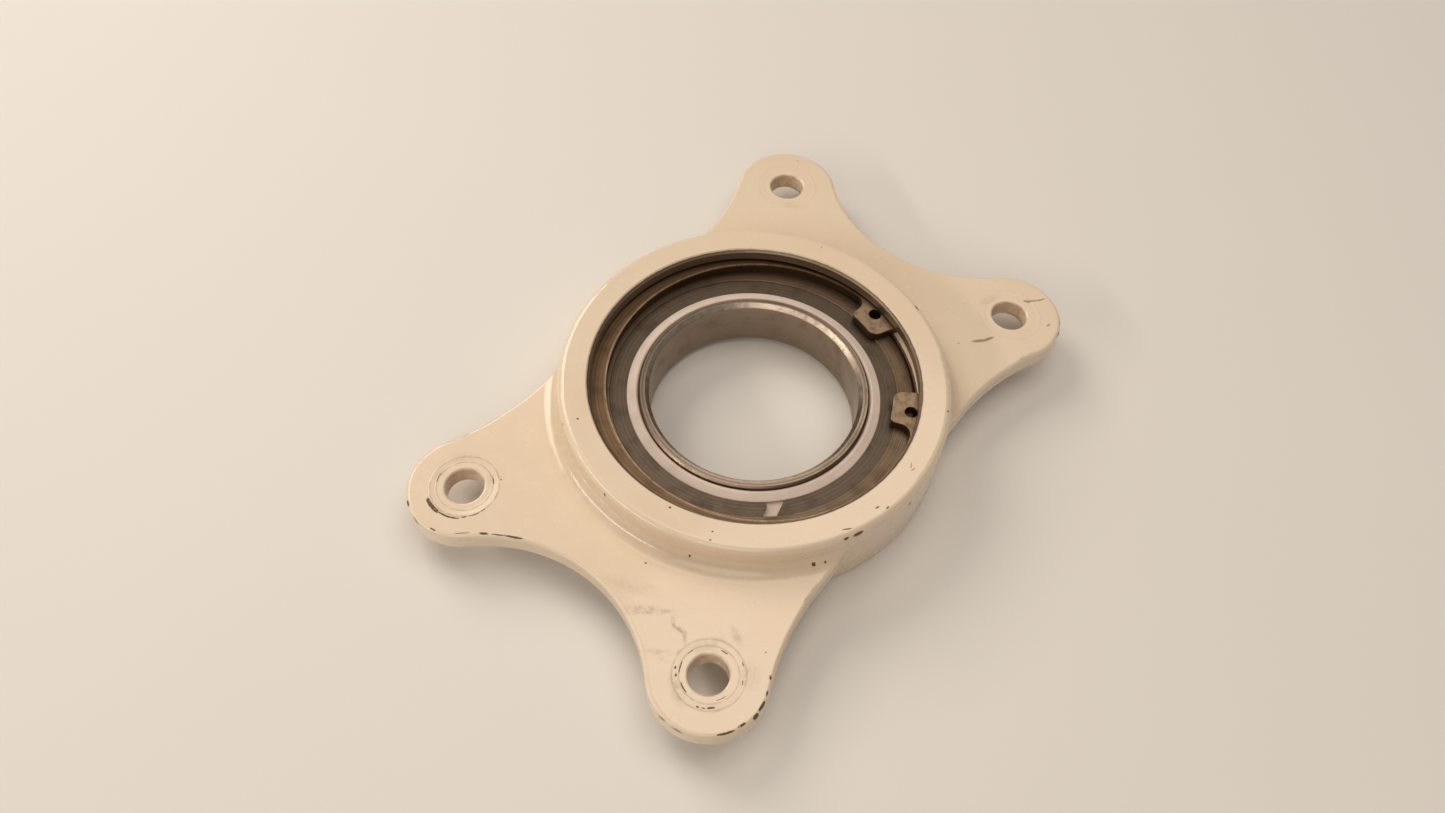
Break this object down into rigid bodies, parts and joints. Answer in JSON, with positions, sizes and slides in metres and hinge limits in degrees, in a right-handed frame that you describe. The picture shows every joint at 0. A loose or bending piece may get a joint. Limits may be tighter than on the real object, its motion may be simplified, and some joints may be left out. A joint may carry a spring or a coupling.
{
  "type": "flange mount bearing",
  "caption": "Four-lobed cast flange with a round hub holding a sealed ball bearing, kept in by an internal circlip; bolts down through its lobes.",
  "frame": {"origin": "on the bore axis, in the plane of the flange's underside", "axes": "+Z along the bore axis, from the spigot to the rim; +Y along the longer bolt spacing"},
  "size_m": [0.0774, 0.1192, 0.0159],
  "materials": {
    "housing_paint": "off-white gloss paint over primer, chipped at edges, worn by washers",
    "ring_steel": "ground bearing steel, oily brown-grey",
    "ball_steel": "polished bearing steel",
    "cage_steel": "pressed steel strip",
    "seal_ptfe": "white fluoropolymer",
    "snap_ring_steel": "dark oiled spring steel",
    "circlip_steel": "brown phosphated spring steel with a bright worn inner edge"
  },
  "bodies": {
    "housing": {"housing": "housing_paint", "outer_ring": "ring_steel", "seal_upper": "seal_ptfe", "seal_lower": "seal_ptfe", "snap_ring_upper": "snap_ring_steel", "snap_ring_lower": "snap_ring_steel", "circlip": "circlip_steel"},
    "inner_ring": {"inner_ring": "ring_steel"},
    "cage": {"cage_upper": "cage_steel", "cage_lower": "cage_steel", "cage_rivets": "cage_steel"},
    "ball_01": {"ball_01": "ball_steel"},
    "ball_02": {"ball_02": "ball_steel"},
    "ball_03": {"ball_03": "ball_steel"},
    "ball_04": {"ball_04": "ball_steel"},
    "ball_05": {"ball_05": "ball_steel"},
    "ball_06": {"ball_06": "ball_steel"},
    "ball_07": {"ball_07": "ball_steel"},
    "ball_08": {"ball_08": "ball_steel"},
    "ball_09": {"ball_09": "ball_steel"},
    "ball_10": {"ball_10": "ball_steel"},
    "ball_11": {"ball_11": "ball_steel"},
    "ball_12": {"ball_12": "ball_steel"},
    "ball_13": {"ball_13": "ball_steel"},
    "ball_14": {"ball_14": "ball_steel"},
    "ball_15": {"ball_15": "ball_steel"},
    "ball_16": {"ball_16": "ball_steel"}
  },
  "joints": [
    {"name": "inner_ring_spin", "type": "hinge", "parent": "housing", "child": "inner_ring", "pos_m": [0, 0, 0.001], "axis": [0, 0, 1], "continuous": true},
    {"name": "cage_spin", "type": "hinge", "parent": "housing", "child": "cage", "pos_m": [0, 0, 0.001], "axis": [0, 0, 1], "continuous": true},
    {"name": "ball_01_spin", "type": "hinge", "parent": "cage", "child": "ball_01", "pos_m": [0.025, 0, 0.001], "axis": [0, 0, 1], "continuous": true},
    {"name": "ball_02_spin", "type": "hinge", "parent": "cage", "child": "ball_02", "pos_m": [0.0231, 0.00957, 0.001], "axis": [0, 0, 1], "continuous": true},
    {"name": "ball_03_spin", "type": "hinge", "parent": "cage", "child": "ball_03", "pos_m": [0.01768, 0.01768, 0.001], "axis": [0, 0, 1], "continuous": true},
    {"name": "ball_04_spin", "type": "hinge", "parent": "cage", "child": "ball_04", "pos_m": [0.00957, 0.0231, 0.001], "axis": [0, 0, 1], "continuous": true},
    {"name": "ball_05_spin", "type": "hinge", "parent": "cage", "child": "ball_05", "pos_m": [0, 0.025, 0.001], "axis": [0, 0, 1], "continuous": true},
    {"name": "ball_06_spin", "type": "hinge", "parent": "cage", "child": "ball_06", "pos_m": [-0.00957, 0.0231, 0.001], "axis": [0, 0, 1], "continuous": true},
    {"name": "ball_07_spin", "type": "hinge", "parent": "cage", "child": "ball_07", "pos_m": [-0.01768, 0.01768, 0.001], "axis": [0, 0, 1], "continuous": true},
    {"name": "ball_08_spin", "type": "hinge", "parent": "cage", "child": "ball_08", "pos_m": [-0.0231, 0.00957, 0.001], "axis": [0, 0, 1], "continuous": true},
    {"name": "ball_09_spin", "type": "hinge", "parent": "cage", "child": "ball_09", "pos_m": [-0.025, 0, 0.001], "axis": [0, 0, 1], "continuous": true},
    {"name": "ball_10_spin", "type": "hinge", "parent": "cage", "child": "ball_10", "pos_m": [-0.0231, -0.00957, 0.001], "axis": [0, 0, 1], "continuous": true},
    {"name": "ball_11_spin", "type": "hinge", "parent": "cage", "child": "ball_11", "pos_m": [-0.01768, -0.01768, 0.001], "axis": [0, 0, 1], "continuous": true},
    {"name": "ball_12_spin", "type": "hinge", "parent": "cage", "child": "ball_12", "pos_m": [-0.00957, -0.0231, 0.001], "axis": [0, 0, 1], "continuous": true},
    {"name": "ball_13_spin", "type": "hinge", "parent": "cage", "child": "ball_13", "pos_m": [0, -0.025, 0.001], "axis": [0, 0, 1], "continuous": true},
    {"name": "ball_14_spin", "type": "hinge", "parent": "cage", "child": "ball_14", "pos_m": [0.00957, -0.0231, 0.001], "axis": [0, 0, 1], "continuous": true},
    {"name": "ball_15_spin", "type": "hinge", "parent": "cage", "child": "ball_15", "pos_m": [0.01768, -0.01768, 0.001], "axis": [0, 0, 1], "continuous": true},
    {"name": "ball_16_spin", "type": "hinge", "parent": "cage", "child": "ball_16", "pos_m": [0.0231, -0.00957, 0.001], "axis": [0, 0, 1], "continuous": true}
  ],
  "couplings": [
    {"joint": "cage_spin", "follows": "inner_ring_spin", "ratio": 0.45},
    {"joint": "ball_01_spin", "follows": "inner_ring_spin", "ratio": -4.95},
    {"joint": "ball_02_spin", "follows": "inner_ring_spin", "ratio": -4.95},
    {"joint": "ball_03_spin", "follows": "inner_ring_spin", "ratio": -4.95},
    {"joint": "ball_04_spin", "follows": "inner_ring_spin", "ratio": -4.95},
    {"joint": "ball_05_spin", "follows": "inner_ring_spin", "ratio": -4.95},
    {"joint": "ball_06_spin", "follows": "inner_ring_spin", "ratio": -4.95},
    {"joint": "ball_07_spin", "follows": "inner_ring_spin", "ratio": -4.95},
    {"joint": "ball_08_spin", "follows": "inner_ring_spin", "ratio": -4.95},
    {"joint": "ball_09_spin", "follows": "inner_ring_spin", "ratio": -4.95},
    {"joint": "ball_10_spin", "follows": "inner_ring_spin", "ratio": -4.95},
    {"joint": "ball_11_spin", "follows": "inner_ring_spin", "ratio": -4.95},
    {"joint": "ball_12_spin", "follows": "inner_ring_spin", "ratio": -4.95},
    {"joint": "ball_13_spin", "follows": "inner_ring_spin", "ratio": -4.95},
    {"joint": "ball_14_spin", "follows": "inner_ring_spin", "ratio": -4.95},
    {"joint": "ball_15_spin", "follows": "inner_ring_spin", "ratio": -4.95},
    {"joint": "ball_16_spin", "follows": "inner_ring_spin", "ratio": -4.95}
  ]
}
